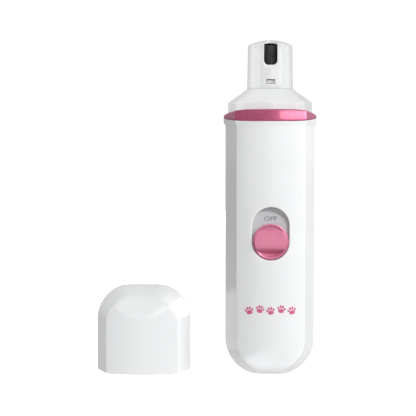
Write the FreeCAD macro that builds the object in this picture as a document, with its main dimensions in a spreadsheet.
import FreeCAD, Part
import math
import os
import re
import Sketcher
from FreeCAD import Placement, Rotation, Vector

# Pet nail trimmer: a white hand-held grinder with a rose accent ring, and its travel cap beside it.
# Millimetres. The origin is the middle of the trimmer's flat base, +Z is up and the front faces -Y.

SIZES = {
    # handle: an oval pod, bevelled from a narrow land at its middle to gently curved panels
    "half_width": 20.2,
    "half_depth": 16.5,
    "panel_radius": 38.6,
    "land": 1.6,                # half the width of the flat land where the two shells meet
    "bevel_angle": 22.7,
    "corner_round": 17.0,       # round of the closed end, seen from the front
    "end_round": 16.0,          # round of the closed end, seen from the side
    "base_sink": 0.5,           # how much of the rounded end is cut off to make the flat base
    "pod_open": 140.0,          # where the handle's pod ends before it is cut to length
    "lip_height": 2.2,          # the flare under the accent band
    "wall": 2.2,
    "seam_half": 0.12,
    "seam_depth": 0.5,
    "seam_low": 0.6,            # the seam's groove stops above the base
    # accent band: tall at the front and rear, low at the sides
    "band_flare": 0.8,
    "band_low_front": 115.1,
    "band_low_side": 116.2,
    "band_high_front": 120.4,
    "band_high_side": 118.4,
    # head
    "collar_inset": 1.1,
    "collar_low": 116.4,
    "collar_top": 123.6,
    "shoulder_top": 129.7,
    "plug_low": 109.0,
    "plug_inset": 2.4,
    "guard_foot": 10.4,
    "guard_radius": 10.05,
    "guard_wall": 1.25,
    "guard_top": 151.9,
    "dome_radius": 22.0,
    "slot_half": 2.95,
    "slot_low": 140.3,
    "slot_round": 2.0,
    "slot_back": 7.0,           # the slot's round end on the dome is centred this far in front of the axis
    "facet": 9.5,               # distance of the flat round the slot from the guard's axis
    "facet_half": 3.9,
    "facet_low": 139.3,
    "window_half": 1.95,
    "window_low": 131.8,
    "window_high": 133.9,
    "spigot_radius": 8.6,
    "spigot_top": 136.2,
    # drive train
    "drum_radius": 6.35,
    "drum_low": 137.4,
    "drum_high": 149.3,
    "sleeve_wall": 0.7,
    "spindle_radius": 1.5,
    "spindle_low": 112.5,
    "bush_radius": 4.0,
    "bush_low": 121.5,
    "bush_high": 130.5,
    "running_gap": 0.05,
    "coupling_radius": 3.6,
    "coupling_low": 107.6,
    "coupling_high": 118.5,
    "motor_radius": 10.0,
    "motor_half_depth": 7.5,
    "motor_low": 80.0,
    "motor_high": 105.0,
    "can_wall": 0.6,
    "shaft_radius": 1.0,
    "rotor_radius": 6.4,
    # thumb switch
    "recess_radius": 8.2,
    "recess_low": 53.3,
    "recess_high": 77.0,
    "knob_radius": 8.0,
    "knob_back": 14.2,
    "knob_front": 16.2,
    "knob_dish": 7.1,
    "travel": 7.2,
    "stem_radius": 1.6,
    "stem_drop": 2.0,           # the stem is this far under the knob's middle, so that the knob hides its slot
    "plate_front": 14.0,
    # cells and their contacts
    "cell_radius": 7.25,
    "cell_length": 49.5,
    "cell_side": 7.4,
    "cell_back": 3.0,
    "bay_low": 9.0,
    "bay_high": 67.0,
    "contact": 0.4,
    # battery cover
    "cover_front": 4.0,
    "cover_high": 70.0,
    "cover_gap": 0.25,
    # shell screws
    "screw_side": 12.8,
    "lower_screws": 74.5,
    "upper_screws": 101.0,
    # travel cap, standing on its open rim
    "cap_x": -58.3,
    "cap_y": 11.0,
    "cap_half_width": 21.6,
    "cap_half_depth": 17.6,
    "cap_round": 16.0,
    "cap_height": 39.7,
    "cap_wall": 2.0,
    "cap_open": -12.0,           # where the cap's pod ends before it is cut to length
}

doc = FreeCAD.newDocument("pet_nail_trimmer")
sheet = doc.addObject("Spreadsheet::Sheet", "sizes")
for row, (alias, size) in enumerate(SIZES.items(), start=1):
    sheet.set("A%d" % row, alias)
    sheet.set("B%d" % row, str(size))
    sheet.setAlias("B%d" % row, alias)
doc.recompute()

ALONG = {
    "z": Rotation(),
    "y": Rotation(Vector(1, 0, 0), -90),
}
PLANES = {"front": "XZ_Plane", "side": "YZ_Plane", "plan": "XY_Plane"}
FAR = "80"                      # further than anything on the trimmer, for cutting tools


# ---------------------------------------------------------------- formulas

def formula(text):
    """A formula in the sheet's words, written so that any object can be bound to it."""
    return re.sub(r"[a-z_]{3,}", lambda word: "sizes." * (word.group() in SIZES) + word.group(), str(text))


def value(text):
    """What such a formula comes to now, worked out in a spare cell of the sheet."""
    sheet.set("D1", "=" + text)
    sheet.recompute()
    return float(sheet.get("D1"))


def bind(thing, **formulas):
    for name, text in formulas.items():
        thing.setExpression(name, formula(text))


def place(thing, x="0", y="0", z="0", along="z"):
    thing.Placement = Placement(Vector(value(x), value(y), value(z)), ALONG[along])
    for axis, text in (("x", x), ("y", y), ("z", z)):
        thing.setExpression(".Placement.Base." + axis, formula(text))


# ---------------------------------------------------------------- primitives and booleans

def box(name, x, y, z):
    """A box; x, y and z are (low, high) pairs of formulas."""
    thing = doc.addObject("Part::Box", name)
    lengths = ["(%s) - (%s)" % (high, low) for low, high in (x, y, z)]
    bind(thing, Length=lengths[0], Width=lengths[1], Height=lengths[2])
    place(thing, x[0], y[0], z[0])
    return thing


def cylinder(name, radius, height, start=("0", "0", "0"), along="z"):
    thing = doc.addObject("Part::Cylinder", name)
    bind(thing, Radius=radius, Height=height)
    place(thing, *start, along)
    return thing


def rod(name, radius, low, high, x="0", y="0"):
    """An upright cylinder between two heights."""
    return cylinder(name, radius, "(%s) - (%s)" % (high, low), (x, y, low))


def tube(name, outer, inner, low, high):
    shell = rod(name + "_outside", outer, low, high)
    bore = rod(name + "_bore", inner, low, high)
    return cut(name, shell, bore)


def cone(name, low_radius, high_radius, low, high, x="0", y="0"):
    thing = doc.addObject("Part::Cone", name)
    bind(thing, Radius1=low_radius, Radius2=high_radius, Height="(%s) - (%s)" % (high, low))
    place(thing, x, y, low)
    return thing


def ball(name, radius, centre_height):
    thing = doc.addObject("Part::Sphere", name)
    bind(thing, Radius=radius)
    place(thing, z=centre_height)
    return thing


def fuse(name, *things):
    thing = doc.addObject("Part::MultiFuse", name)
    thing.Shapes = list(things)
    return thing


def common(name, *things):
    thing = doc.addObject("Part::MultiCommon", name)
    thing.Shapes = list(things)
    return thing


def cut(name, base, *tools):
    thing = doc.addObject("Part::Cut", name)
    thing.Base = base
    thing.Tool = tools[0] if len(tools) == 1 else fuse(name + "_tools", *tools)
    return thing


def shape_of(name, shape, x="0", y="0", z="0"):
    """A shape made with Part's own functions, as an object of the document."""
    thing = doc.addObject("Part::Feature", name)
    thing.Shape = shape
    place(thing, x, y, z)
    return thing


# ---------------------------------------------------------------- sketched bodies

def new_sketch(body, name, plane, offset="0"):
    sketch = body.newObject("Sketcher::SketchObject", name)
    role = PLANES[plane]
    sketch.AttachmentSupport = [(next(f for f in body.Origin.OriginFeatures if f.Role == role), "")]
    sketch.MapMode = "FlatFace"
    sketch.setExpression(".AttachmentOffset.Base.z", formula(offset))
    return sketch


def limit(sketch, kind, places, text, name):
    """Add a dimension to the sketch and bind it to a formula."""
    number = sketch.addConstraint(Sketcher.Constraint(kind, *places, value(text)))
    sketch.renameConstraint(number, name)
    sketch.setExpression("Constraints." + name, formula(text))


def polygon(sketch, points):
    """A closed outline of straight lines; every point's two places are bound to formulas."""
    spots = [Vector(value(across), value(up), 0) for across, up in points]
    count = len(spots)
    for number in range(count):
        sketch.addGeometry(Part.LineSegment(spots[number], spots[(number + 1) % count]), False)
    for number in range(count):
        sketch.addConstraint(Sketcher.Constraint("Coincident", number, 2, (number + 1) % count, 1))
    for number, (across, up) in enumerate(points):
        limit(sketch, "DistanceX", (-1, 1, number, 1), across, "across_%d" % number)
        limit(sketch, "DistanceY", (-1, 1, number, 1), up, "up_%d" % number)


def round_ended(sketch, half_width, flat_end, round_end, radius):
    """A symmetric outline with square corners at one end and rounded corners at the other."""
    wide, flat, tip, size = (value(text) for text in (half_width, flat_end, round_end, radius))
    sign = 1 if tip > flat else -1
    centre = tip - sign * size
    spots = [Vector(*spot, 0) for spot in ((-wide, flat), (wide, flat), (wide, centre), (wide - size, tip),
                                           (size - wide, tip), (-wide, centre))]
    quarter = math.pi / 2
    right_arc = (0, quarter) if sign > 0 else (-quarter, 0)
    left_arc = (quarter, 2 * quarter) if sign > 0 else (2 * quarter, 3 * quarter)
    right_round = Part.Circle(Vector(wide - size, centre, 0), Vector(0, 0, 1), size)
    left_round = Part.Circle(Vector(size - wide, centre, 0), Vector(0, 0, 1), size)
    for piece in (Part.LineSegment(spots[0], spots[1]), Part.LineSegment(spots[1], spots[2]),
                  Part.ArcOfCircle(right_round, *right_arc), Part.LineSegment(spots[3], spots[4]),
                  Part.ArcOfCircle(left_round, *left_arc), Part.LineSegment(spots[5], spots[0])):
        sketch.addGeometry(piece, False)
    near, far = (1, 2) if sign > 0 else (2, 1)
    for rule in (("Coincident", 0, 2, 1, 1), ("Tangent", 1, 2, 2, near), ("Tangent", 2, far, 3, 1),
                 ("Tangent", 3, 2, 4, near), ("Tangent", 4, far, 5, 1), ("Coincident", 5, 2, 0, 1),
                 ("Horizontal", 3), ("Vertical", 1), ("Symmetric", 0, 1, 0, 2, -2), ("Equal", 2, 4)):
        sketch.addConstraint(Sketcher.Constraint(*rule))
    limit(sketch, "Radius", (2,), radius, "corner")
    limit(sketch, "DistanceY", (-1, 1, 0, 1), flat_end, "flat_end")
    limit(sketch, "DistanceY", (-1, 1, 3, 1), round_end, "round_end")
    limit(sketch, "DistanceX", (-1, 1, 0, 2), half_width, "half_width")


def oval_outline(sketch, inset):
    """The handle's section: two lands, four bevels and two panel arcs, drawn in by inset."""
    slope = "tan(bevel_angle)"
    wide = "(half_width - (%s) / cos(bevel_angle))" % inset
    curve = "(panel_radius - (%s))" % inset
    centre = "(panel_radius - half_depth)"
    reach = "(%s + land * %s)" % (wide, slope)
    lean = "(%s - %s * %s)" % (centre, reach, slope)
    depth = "((sqrt(%s^2 - (1 + %s^2) * (%s^2 + %s^2 - %s^2)) - %s) / (1 + %s^2))" % (
        lean, slope, reach, centre, curve, lean, slope)
    crease = "(%s - %s * %s)" % (reach, slope, depth)
    corners = [(wide, "-land"), (wide, "land"), (crease, depth), ("-" + crease, depth),
               ("-" + wide, "land"), ("-" + wide, "-land"), ("-" + crease, "-" + depth), (crease, "-" + depth)]
    spots = [Vector(value(across), value(along), 0) for across, along in corners]
    for number, spot in enumerate(spots):
        end = spots[(number + 1) % 8]
        if number in (2, 6):
            crown = Vector(0, math.copysign(value(curve) - value(centre), spot.y), 0)
            sketch.addGeometry(Part.Arc(spot, crown, end), False)
        else:
            sketch.addGeometry(Part.LineSegment(spot, end), False)
    starts = {number: (1, 2) for number in range(8)}
    for number in (2, 6):
        first = sketch.Geometry[number].StartPoint
        starts[number] = (1, 2) if first.distanceToPoint(spots[number]) < 0.01 else (2, 1)
    for number in range(8):
        following = (number + 1) % 8
        sketch.addConstraint(Sketcher.Constraint("Coincident", number, starts[number][1],
                                                 following, starts[following][0]))
    for number, (across, along) in enumerate(corners):
        limit(sketch, "DistanceX", (-1, 1, number, starts[number][0]), across, "across_%d" % number)
        limit(sketch, "DistanceY", (-1, 1, number, starts[number][0]), along, "along_%d" % number)
    limit(sketch, "Radius", (2,), curve, "rear_panel")
    limit(sketch, "Radius", (6,), curve, "front_panel")


def pad(body, sketch, length, both_ways=False, reverse=False, taper="0"):
    feature = body.newObject("PartDesign::Pad", sketch.Name + "_pad")
    feature.Profile = sketch
    bind(feature, Length=length, TaperAngle=taper)
    feature.SideType = "Symmetric" if both_ways else "One side"
    feature.Reversed = reverse
    body.Tip = feature
    return feature


def prism(name, plane, points, start, length):
    """A straight-sided block on an outline drawn on one of the body's planes."""
    body = doc.addObject("PartDesign::Body", name)
    sketch = new_sketch(body, name + "_outline", plane, start)
    polygon(sketch, points)
    pad(body, sketch, length)
    return body


def turned(name, profile):
    """A body turned about the upright axis from (radius, height) points."""
    body = doc.addObject("PartDesign::Body", name)
    sketch = new_sketch(body, name + "_profile", "front")
    polygon(sketch, profile)
    feature = body.newObject("PartDesign::Revolution", name + "_turn")
    feature.Profile = sketch
    feature.ReferenceAxis = (sketch, ["V_Axis"])
    feature.Angle = 360
    body.Tip = feature
    return body


def capsule(name, radius, low, high, front, back):
    """An upright slot shape, cut or built along Y."""
    depth = "(%s) - (%s)" % (back, front)
    foot = cylinder(name + "_foot", radius, depth, ("0", front, "%s + %s" % (low, radius)), "y")
    head = cylinder(name + "_head", radius, depth, ("0", front, "%s - (%s)" % (high, radius)), "y")
    shank = box(name + "_shank", ("-(%s)" % radius, radius), (front, back),
                ("%s + %s" % (low, radius), "%s - (%s)" % (high, radius)))
    return fuse(name, foot, head, shank)


# ---------------------------------------------------------------- the pod shape

HANDLE = {"half_width": "half_width", "half_depth": "half_depth", "round": "corner_round"}
CAP = {"half_width": "cap_half_width", "half_depth": "cap_half_depth", "round": "cap_round"}


def pod(name, inset, closed_end, open_end, family=HANDLE):
    """The handle's and cap's common shape, drawn in by inset.

    Seen from the front it is the round-ended outline, which tapers from the land towards the
    panels. It is what that tapered block has in common with two large upright cylinders, the
    curved panels, and with a round-ended block seen from the side.
    """
    sign = 1 if value(closed_end) > value(open_end) else -1
    depth = family["half_depth"]
    slant = "(%s) / cos(bevel_angle)" % inset
    end = "%s - (%d) * %s" % (closed_end, sign, slant)
    outline = doc.addObject("PartDesign::Body", name + "_outline")
    for side, start, reverse in (("land", "0", False), ("front", "land", False), ("rear", "-land", True)):
        sketch = new_sketch(outline, "%s_%s" % (name, side), "front", start)
        round_ended(sketch, "%s - %s" % (family["half_width"], slant), open_end, end,
                    "%s - %s" % (family["round"], slant))
        if side == "land":
            pad(outline, sketch, "2 * land", both_ways=True)
        else:
            pad(outline, sketch, depth, reverse=reverse, taper="-bevel_angle")
    side_block = doc.addObject("PartDesign::Body", name + "_side")
    sketch = new_sketch(side_block, name + "_side_outline", "side")
    round_ended(sketch, "%s - (%s)" % (depth, inset), open_end,
                "%s - (%d) * (%s)" % (closed_end, sign, inset), "end_round - (%s)" % inset)
    pad(side_block, sketch, FAR, both_ways=True)
    low = closed_end if sign < 0 else open_end
    panels = [cylinder("%s_%s_panel" % (name, side), "panel_radius - (%s)" % inset, "200",
                       ("0", "%d * (panel_radius - %s)" % (way, depth), "(%s) - 5" % low))
              for side, way in (("front", 1), ("rear", -1))]
    return common(name, outline, side_block, *panels)


def oval(name, inset, low, high):
    """A straight block with the handle's section."""
    body = doc.addObject("PartDesign::Body", name)
    sketch = new_sketch(body, name + "_section", "plan", low)
    oval_outline(sketch, inset)
    pad(body, sketch, "(%s) - (%s)" % (high, low))
    return body


def oval_loft(name, low_inset, low, high, top_inset=None, top_circle=None):
    """A block that changes from the handle's section to a larger one, or to a circle."""
    body = doc.addObject("PartDesign::Body", name)
    foot = new_sketch(body, name + "_foot", "plan", low)
    oval_outline(foot, low_inset)
    head = new_sketch(body, name + "_head", "plan", high)
    if top_circle:
        head.addGeometry(Part.Circle(Vector(), Vector(0, 0, 1), value(top_circle)), False)
        head.addConstraint(Sketcher.Constraint("Coincident", 0, 3, -1, 1))
        limit(head, "Radius", (0,), top_circle, "head_radius")
    else:
        oval_outline(head, top_inset)
    feature = body.newObject("PartDesign::AdditiveLoft", name + "_loft")
    feature.Profile = foot
    feature.Sections = [head]
    feature.Ruled = True
    body.Tip = feature
    return body


# ---------------------------------------------------------------- handle shells

SAGITTA = "((half_width)^2 + (%s)^2) / (2 * (%s))"
low_curve = SAGITTA % (("band_low_side - band_low_front",) * 2)
high_curve = SAGITTA % (("band_high_front - band_high_side",) * 2)


def across(name, radius, height):
    """A long cylinder lying front to back, whose axis is at this height."""
    return cylinder(name, radius, FAR, ("0", "-40", height), "y")


above_handle = across("above_handle", low_curve, "band_low_front + " + low_curve)
everything = ("-" + FAR, FAR)
below_floor = box("below_floor", everything, everything, ("-10", "0"))
above_shells = box("above_shells", everything, everything, ("118", "pod_open + 1"))

handle_pod = pod("handle_pod", "0", "-base_sink", "pod_open")
handle_inside = pod("handle_inside", "wall", "-base_sink", "pod_open")
lip = oval_loft("lip", "0.3", "band_low_front - lip_height - 0.8", "band_low_front + 0.2", top_inset="-band_flare")
lip_top = oval("lip_top", "-band_flare", "band_low_front + 0.2", "118")
handle_outside = cut("handle_outside", fuse("handle_with_lip", handle_pod, lip, lip_top),
                     above_handle, below_floor, above_shells)
shell_wall = cut("shell_wall", handle_outside, handle_inside)


def screw_places():
    for level in ("lower_screws", "upper_screws"):
        for side in ("-", ""):
            yield level, side


def per_screw(name, radius, front, back):
    """One cylinder at each shell screw, front to back."""
    return [cylinder("%s_%d" % (name, number), radius, "(%s) - (%s)" % (back, front),
                     (side + "screw_side", front, level), "y")
            for number, (level, side) in enumerate(screw_places(), start=1)]


front_half = box("front_half", everything, ("-" + FAR, "-seam_half"), ("-1", "pod_open"))
front_bosses = common("front_bosses", fuse("front_boss_rods", *per_screw("front_boss", "2.4", "-14", "-seam_half")),
                      handle_outside)
pilot_holes = per_screw("pilot", "1.1", "-7", "0")
recess = capsule("recess", "recess_radius", "recess_low", "recess_high", "-20", "-12")
front_shell = cut("front_shell", fuse("front_solid", common("front_wall", shell_wall, front_half), front_bosses),
                  recess, *pilot_holes)

rear_half = box("rear_half", everything, ("-seam_half", FAR), ("-1", "pod_open"))
seam_band = box("seam_band", everything, ("-seam_half", "seam_half"), ("seam_low", "pod_open"))
seam = cut("seam", seam_band, pod("seam_floor", "seam_depth", "-base_sink", "pod_open"))
rear_bosses = common("rear_bosses", fuse("rear_boss_rods", *per_screw("rear_boss", "2.7", "-seam_half", "14")),
                     handle_outside)
screw_holes = per_screw("screw_hole", "1.25", "-1", "8.2") + per_screw("screw_head_well", "2.3", "8.0", "20")
cover_space = box("cover_space", everything, ("cover_front", FAR), ("-1", "cover_high"))
rear_shell = cut("rear_shell", fuse("rear_solid", common("rear_wall", shell_wall, rear_half), rear_bosses),
                 seam, cover_space, *screw_holes)

cover_region = box("cover_region", everything, ("cover_front + cover_gap", FAR), ("-1", "cover_high - cover_gap"))
grip_grooves = [box("grip_groove_%d" % rib, ("-6", "6"), ("15.9", "18"), ("%d" % level, "%d + 0.9" % level))
                for rib, level in enumerate((58, 60, 62, 64), start=1)]
battery_cover = cut("battery_cover", common("cover_wall", shell_wall, cover_region), *grip_grooves)

# ---------------------------------------------------------------- accent band

band_outside = oval("band_outside", "-band_flare", "112", "122")
band_inside = oval("band_inside", "collar_inset - 0.02", "111", "123")
below_band = across("below_band", high_curve, "band_high_front - " + high_curve)
band_lens = common("band_lens", band_outside,
                   across("over_handle", low_curve, "band_low_front + 0.02 + " + low_curve), below_band)
accent_band = cut("accent_band", band_lens, band_inside)

# ---------------------------------------------------------------- head

collar_wall = fuse("collar_wall", oval("collar_oval", "collar_inset", "collar_low", "collar_top"),
                   oval("collar_plug", "plug_inset", "plug_low", "collar_low"))
shoulder = oval_loft("shoulder", "collar_inset", "collar_top", "shoulder_top", top_circle="guard_foot")
collar_hollow = oval("collar_hollow", "plug_inset + 2", "plug_low - 1", "bush_low - 1")
spigot = rod("spigot", "spigot_radius", "shoulder_top - 1", "spigot_top")
bush_bore = rod("bush_bore", "bush_radius", "bush_low - 3", "spigot_top + 1")
latch_notch = box("latch_notch", ("-2.2", "2.2"), ("-9", "-5.6"), ("shoulder_top + 0.8", "spigot_top + 1"))
head_collar = cut("head_collar", fuse("collar_solid", collar_wall, shoulder, spigot),
                  collar_hollow, bush_bore, latch_notch)

guard_outside = common("guard_outside", cone("guard_cone", "guard_foot", "guard_radius", "shoulder_top + 0.1", "153"),
                       ball("guard_dome", "dome_radius", "guard_top - dome_radius"))
guard_inside = common("guard_inside", cone("guard_bore", "guard_foot - guard_wall", "guard_radius - guard_wall",
                                           "shoulder_top", "153"),
                      ball("guard_dome_inside", "dome_radius - guard_wall", "guard_top - dome_radius"))
nail_slot = doc.addObject("PartDesign::Body", "nail_slot")
slot_sketch = new_sketch(nail_slot, "nail_slot_outline", "front", "slot_back")
round_ended(slot_sketch, "slot_half", "153", "slot_low", "slot_round")
pad(nail_slot, slot_sketch, "6")
slot_end = cylinder("slot_end", "slot_half", "6", ("0", "-slot_back", "148"))
slot_facet = doc.addObject("PartDesign::Body", "slot_facet")
facet_sketch = new_sketch(slot_facet, "slot_facet_outline", "front", "facet")
round_ended(facet_sketch, "facet_half", "153", "facet_low", "slot_round + 1")
pad(slot_facet, facet_sketch, "4")
window = box("window", ("-window_half", "window_half"), ("-12", "-7.5"), ("window_low", "window_high"))
nose_guard = cut("nose_guard", guard_outside, guard_inside, nail_slot, slot_end, slot_facet, window)

latch_tab = box("latch_tab", ("-1.6", "1.6"), ("-8.75", "-7.6"), ("window_low + 0.3", "window_high - 0.3"))
latch_leaf = box("latch_leaf", ("-1.9", "1.9"), ("-7.7", "-6.9"), ("shoulder_top + 1.1", "spigot_top - 0.2"))
guard_latch = fuse("guard_latch", latch_tab, latch_leaf)

# ---------------------------------------------------------------- drive train

spindle = turned("spindle", [("0", "spindle_low"), ("spindle_radius", "spindle_low"),
                             ("spindle_radius", "bush_high + 0.3"), ("2.4", "bush_high + 0.3"),
                             ("2.4", "bush_high + 1.5"), ("spindle_radius", "bush_high + 1.5"),
                             ("spindle_radius", "drum_high - 1.4"), ("0", "drum_high - 1.4")])
drum_flange = tube("drum_flange", "5.2", "spindle_radius", "drum_low - 0.9", "drum_low")
core_radius = "drum_radius - sleeve_wall"
drum_core = tube("drum_core", core_radius, "spindle_radius", "drum_low", "drum_high - 1.4")
sanding_sleeve = tube("sanding_sleeve", "drum_radius", core_radius, "drum_low", "drum_high")
screw_socket = prism("screw_socket", "plan", [("0.9 * cos(%d)" % turn, "0.9 * sin(%d)" % turn)
                                             for turn in range(0, 360, 60)], "drum_high - 0.6", "1")
drum_screw = cut("drum_screw", rod("drum_screw_head", "4.2", "drum_high - 1.4", "drum_high + 0.1"), screw_socket)
shaft_coupling = cut("shaft_coupling", rod("coupling_body", "coupling_radius", "coupling_low", "coupling_high"),
                     rod("shaft_socket", "shaft_radius", "coupling_low - 1", "coupling_low + 4.4"),
                     rod("spindle_socket", "spindle_radius", "spindle_low", "coupling_high + 1"))
spindle_bush = tube("spindle_bush", "bush_radius", "spindle_radius + running_gap", "bush_low", "bush_high")


def motor_block(name, shrink, low, high):
    """The motor's section, a circle with two flats, between two heights."""
    flats = ("-motor_half_depth + (%s)" % shrink, "motor_half_depth - (%s)" % shrink)
    return common(name, rod(name + "_round", "motor_radius - (%s)" % shrink, low, high),
                  box(name + "_flats", everything, flats, (low, high)))


shaft_bore = "shaft_radius + running_gap"
motor_can = cut("motor_can", fuse("can_solid", motor_block("can_block", "0", "motor_low", "motor_high"),
                                  rod("can_boss", "3", "motor_high", "motor_high + 1.5")),
                motor_block("can_hollow", "can_wall", "motor_low - 1", "motor_high - can_wall"),
                rod("can_bore", shaft_bore, "motor_low", "motor_high + 2"))
motor_end_cap = cut("motor_end_cap", fuse("end_cap_solid",
                                          motor_block("end_cap_rim", "0", "motor_low - 2.5", "motor_low"),
                                          motor_block("end_cap_plug", "can_wall", "motor_low", "motor_low + 1.5")),
                    rod("end_cap_bore", shaft_bore, "motor_low - 3", "motor_low + 2"))
motor_terminals = fuse("motor_terminals", *[
    box("terminal_" + side, (low, "%s + 2" % low), ("-0.7", "0.1"), ("motor_low - 5.5", "motor_low - 2.5"))
    for side, low in (("left", "-7"), ("right", "5"))])
motor_magnets = common("motor_magnets",
                       tube("magnet_ring", "motor_radius - can_wall", "rotor_radius + 0.8", "84", "101"),
                       box("magnet_arc", everything, ("-5", "5"), ("84", "101")))
motor_rotor = tube("motor_rotor", "rotor_radius", "shaft_radius", "84.5", "100.5")
commutator = tube("commutator", "2.5", "shaft_radius", "82.2", "84.5")
motor_shaft = rod("motor_shaft", "shaft_radius", "motor_low - 2", "coupling_low + 4.4")
motor_damper = cut("motor_damper", motor_block("damper_block", "-1.1", "90", "94"),
                   motor_block("damper_hole", "0", "89", "95"))
cheeks = [box("cheek_" + side, ("-5", "5"), span, ("88", "motor_high"))
          for side, span in (("front", ("-9.8", "-8.6")), ("rear", ("8.6", "9.8")))]
motor_cradle = cut("motor_cradle", fuse("cradle_solid", oval("cradle_plate", "wall", "motor_high", "motor_high + 2"),
                                        *cheeks), rod("cradle_hole", "3", "motor_high - 1", "motor_high + 3"))

# ---------------------------------------------------------------- thumb switch

knob_height = "recess_low + recess_radius"
switch_plate = cut("switch_plate",
                   fuse("plate_solid", capsule("plate_floor", "recess_radius - 0.1", "recess_low + 0.1",
                                               "recess_high - 0.1", "-plate_front", "-12.4"),
                        capsule("plate_flange", "10", "recess_low - 1.8", "recess_high + 1.8", "-12.4", "-11.6")),
                   capsule("stem_slot", "stem_radius + 0.2", knob_height + " - stem_drop - stem_radius - 0.3",
                           knob_height + " - stem_drop + travel + stem_radius + 0.3", "-15", "-11"))


def knob_disc(name, radius, front, back, drop="0"):
    return cylinder(name, radius, "(%s) - (%s)" % (back, front), ("0", front, knob_height + " - " + drop), "y")


thumb_ridge = common("thumb_ridge", knob_disc("ridge_limit", "knob_dish", "-19", "-15"),
                     prism("ridge_block", "side", [(depth, "%s + (%s)" % (knob_height, rise)) for depth, rise in (
                         ("-15.2", "4.6"), ("-15.7", "4.5"), ("-16.7", "1.0"), ("-17.2", "-2.0"),
                         ("-17.0", "-3.6"), ("-16.3", "-5.0"), ("-15.2", "-6.0"))], "-8", "16"))
switch_knob = fuse("switch_knob",
                   cut("knob_cup", knob_disc("knob_body", "knob_radius", "-knob_front", "-knob_back"),
                       knob_disc("knob_hollow", "knob_dish", "-19", "-knob_front + 0.8")),
                   thumb_ridge, knob_disc("knob_stem", "stem_radius", "-knob_back", "-11.4", "stem_drop"))
switch_slider = box("switch_slider", ("-5", "5"), ("-11.4", "-10.4"),
                    (knob_height + " - 6", knob_height + " + 6"))
switch_lever = box("switch_lever", ("-1", "1"), ("-10.4", "-8.4"),
                   (knob_height + " - 1.2", knob_height + " + 1.2"))
slide_switch = cut("slide_switch", box("slide_switch_case", ("-4.3", "4.3"), ("-9.8", "-7"), ("56", "75")),
                   box("lever_slot", ("-1.4", "1.4"), ("-11", "-8.1"),
                       (knob_height + " - 1.6", knob_height + " + travel + 1.6")))
circuit_board = box("circuit_board", ("-9", "9"), ("-7", "-5.8"), ("50", "76.5"))

# ---------------------------------------------------------------- cells, tray and contacts

tray_posts = [cylinder("tray_post_%s_%s" % (x.strip("-"), z), "1.4", "0.5", (x, "-5.8", z), "y")
              for x in ("-6.5", "6.5") for z in ("52.5", "65")]
tab_notches = [box("tab_notch_" + side, span, ("-0.7", "0.3"), ("bay_high - 1", "bay_high + 2"))
               for side, span in (("left", ("-8.2", "-4.8")), ("right", ("4.8", "8.2")))]
battery_tray = cut("battery_tray", fuse(
    "tray_solid", box("tray_back", ("-13", "13"), ("-5.3", "-4.4"), ("bay_low - 1", "bay_high + 1")),
    box("tray_floor", ("-12", "12"), ("-5", "6"), ("bay_low - 1", "bay_low")),
    box("tray_roof", ("-13", "13"), ("-5", "9"), ("bay_high", "bay_high + 1")), *tray_posts), *tab_notches)

left_low = "bay_high - contact - 1 - cell_length"
right_low = "bay_low + contact + 1"


def cell(name, x, low, nub_low):
    return fuse(name, rod(name + "_can", "cell_radius", low, low + " + cell_length", x, "cell_back"),
                rod(name + "_nub", "2.75", nub_low, nub_low + " + 1", x, "cell_back"))


left_cell = cell("left_cell", "-cell_side", left_low, left_low + " + cell_length")
right_cell = cell("right_cell", "cell_side", right_low, right_low + " - 1")
lower_battery_spring = cone("lower_battery_spring", "4.6", "3.2", "bay_low + contact", left_low,
                            "-cell_side", "cell_back")
upper_battery_spring = cone("upper_battery_spring", "3.2", "4.6", right_low + " + cell_length",
                            "bay_high - contact", "cell_side", "cell_back")
bridge_contact = box("bridge_contact", ("-11.5", "11.5"), ("-1.5", "6"), ("bay_low", "bay_low + contact"))


def tabbed_contact(name, plate, tab):
    """A contact plate under the tray's roof, with a solder tab that rises through its notch."""
    return fuse(name, box(name + "_plate", plate, ("-1", "6.5"), ("bay_high - contact", "bay_high")),
                box(name + "_tab", tab, ("-0.5", "0.1"), ("bay_high - contact", "bay_high + 4.5")))


positive_contact = tabbed_contact("positive_contact", ("-12", "-3"), ("-8", "-5"))
negative_contact = tabbed_contact("negative_contact", ("3", "12"), ("5", "8"))

shell_screws = fuse("shell_screws", *per_screw("screw_shank", "1.1", "-6.5", "8.2"),
                    *per_screw("screw_head", "2.1", "8.2", "9.7"))


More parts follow.
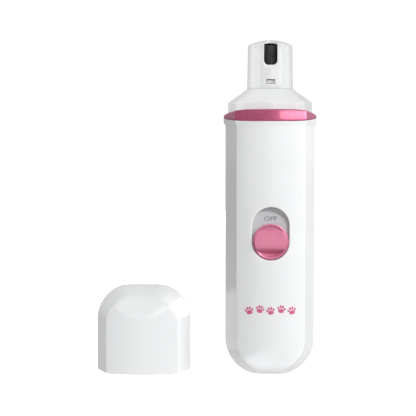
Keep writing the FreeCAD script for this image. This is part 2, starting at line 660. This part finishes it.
def bent_wire(name, points, bend, radius):
    """A round wire along straight runs joined by tangent arcs."""
    spots = [Vector(*point) for point in points]
    edges = []
    start = spots[0]
    for before, corner, after in zip(spots, spots[1:], spots[2:]):
        back_way = (before - corner).normalize()
        on_way = (after - corner).normalize()
        half = back_way.getAngle(on_way) / 2
        first = corner + back_way * (bend / math.tan(half))
        last = corner + on_way * (bend / math.tan(half))
        inward = (back_way + on_way).normalize()
        crown = corner + inward * (bend / math.sin(half) - bend)
        edges += [Part.LineSegment(start, first).toShape(), Part.Arc(first, crown, last).toShape()]
        start = last
    edges.append(Part.LineSegment(start, spots[-1]).toShape())
    section = Part.Wire(Part.makeCircle(radius, spots[0], spots[1] - spots[0]))
    return shape_of(name, Part.Wire(edges).makePipeShell([section], True, False))


supply_wire = bent_wire("supply_wire", [(-6.5, 0.6, 68.6), (-6.5, 0.6, 73.2), (-6.5, -5.8, 73.2)], 1.6, 0.5)
motor_wire = bent_wire("motor_wire", [(-2.5, -5.8, 75.6), (-2.5, -3.2, 75.6), (-6, -3.2, 75.6), (-6, -0.7, 75.6)],
                       1.0, 0.5)
return_wire = bent_wire("return_wire", [(6.5, 0.6, 68.6), (6.5, 0.6, 70.5), (6.0, 0.6, 73.5), (6.0, 0.6, 77)],
                        1.5, 0.5)

# ---------------------------------------------------------------- travel cap

cap_floor = box("cap_floor", everything, everything, ("cap_open - 1", "0"))
cap_hollow = cut("cap_hollow", pod("cap_outside", "0", "cap_height", "cap_open", CAP),
                 pod("cap_inside", "cap_wall", "cap_height", "cap_open", CAP))
cap_shell = cut("cap_shell", cap_hollow, cap_floor)
place(cap_shell, "cap_x", "cap_y")

# ---------------------------------------------------------------- checks and output

PARTS = [front_shell, rear_shell, battery_cover, accent_band, head_collar, nose_guard, guard_latch,
         spindle, spindle_bush, drum_flange, drum_core, sanding_sleeve, drum_screw, shaft_coupling,
         motor_can, motor_end_cap, motor_terminals, motor_magnets, motor_rotor, commutator, motor_shaft,
         motor_damper, motor_cradle, switch_plate, switch_knob, switch_slider, switch_lever, slide_switch,
         circuit_board, battery_tray, left_cell, right_cell, lower_battery_spring, upper_battery_spring,
         bridge_contact, positive_contact, negative_contact, shell_screws, supply_wire, motor_wire,
         return_wire, cap_shell]

doc.recompute()
for thing in doc.Objects:
    if "Invalid" in thing.State or "Error" in thing.State:
        raise RuntimeError("%s failed: %s" % (thing.Name, thing.getStatusString()))
os.makedirs("parts", exist_ok=True)
for part in PARTS:
    part.Label = part.Name
    if part.Shape.isNull() or not part.Shape.isValid():
        raise RuntimeError(part.Name + " has no valid shape")
    part.Shape.exportStep("parts/%s.step" % part.Label)
    print("%-22s %2d solids %9.1f mm3" % (part.Label, len(part.Shape.Solids), part.Shape.Volume))
